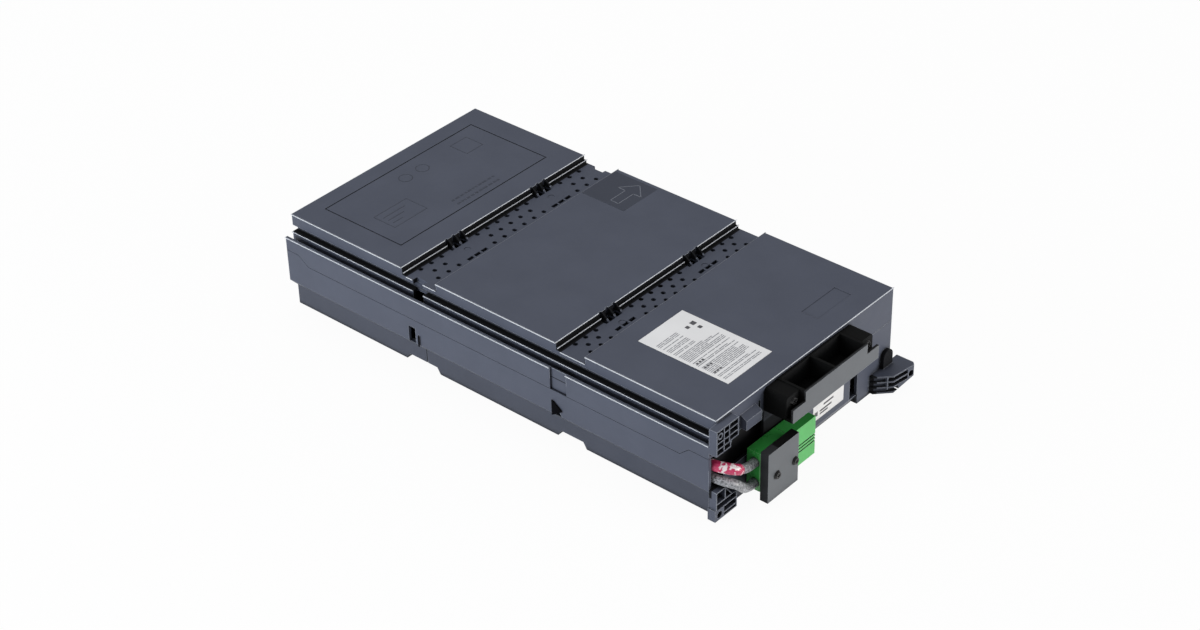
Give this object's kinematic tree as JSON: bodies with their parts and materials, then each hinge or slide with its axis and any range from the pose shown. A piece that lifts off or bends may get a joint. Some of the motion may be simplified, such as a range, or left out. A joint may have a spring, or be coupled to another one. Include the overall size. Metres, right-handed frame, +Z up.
{
  "type": "ups battery cartridge",
  "caption": "Flat plastic battery cartridge in raised sections with vented strips between, a finger handle, a plug connector on short leads and locating feet at the front end.",
  "frame": {"origin": "centre of the bounding box, on the plane that the cartridge lies on", "axes": "+Z up, -Y towards the end with the handle and the plug, +X towards the side without the side wing"},
  "size_m": [0.214, 0.419, 0.0776],
  "materials": {
    "housing_plastic": "satin moulded plastic with a fine texture",
    "battery_case": "moulded case, slightly glossy",
    "terminal_brass": "tinned blades and lugs",
    "foam_pad": "closed-cell foam",
    "link_jacket": "smooth cable jacket",
    "lead_jacket": "smooth cable jacket",
    "sleeve_film": "printed marker film",
    "fuse_plastic": "moulded holder",
    "plug_plastic": "glossy moulded plastic",
    "contact_plating": "plated contacts",
    "handle_plastic": "satin moulded plastic, nearly black",
    "screw_steel": "black coated steel",
    "label_paper": "matt printed label"
  },
  "bodies": {
    "root": {"base_tray": "housing_plastic", "top_cover": "housing_plastic", "pull_handle": "handle_plastic", "battery_1": "battery_case", "battery_2": "battery_case", "battery_3": "battery_case", "battery_4": "battery_case", "battery_5": "battery_case", "battery_6": "battery_case", "battery_blades": "terminal_brass", "push_on_lugs": "terminal_brass", "lower_foam_1": "foam_pad", "lower_foam_2": "foam_pad", "lower_foam_3": "foam_pad", "upper_foam_1": "foam_pad", "upper_foam_2": "foam_pad", "upper_foam_3": "foam_pad", "link_lead_1": "link_jacket", "link_lead_2": "link_jacket", "link_lead_3": "link_jacket", "link_lead_4": "link_jacket", "link_lead_5": "link_jacket", "positive_lead": "lead_jacket", "negative_lead": "lead_jacket", "fuse_lead": "lead_jacket", "marker_sleeve": "sleeve_film", "fuse_holder": "fuse_plastic", "plug_rear_shell": "plug_plastic", "plug_front_shell": "plug_plastic", "plug_contacts": "contact_plating", "plug_plate": "handle_plastic", "plate_screws": "screw_steel", "handle_screws": "screw_steel", "top_label": "label_paper", "front_label": "label_paper"}
  },
  "joints": []
}
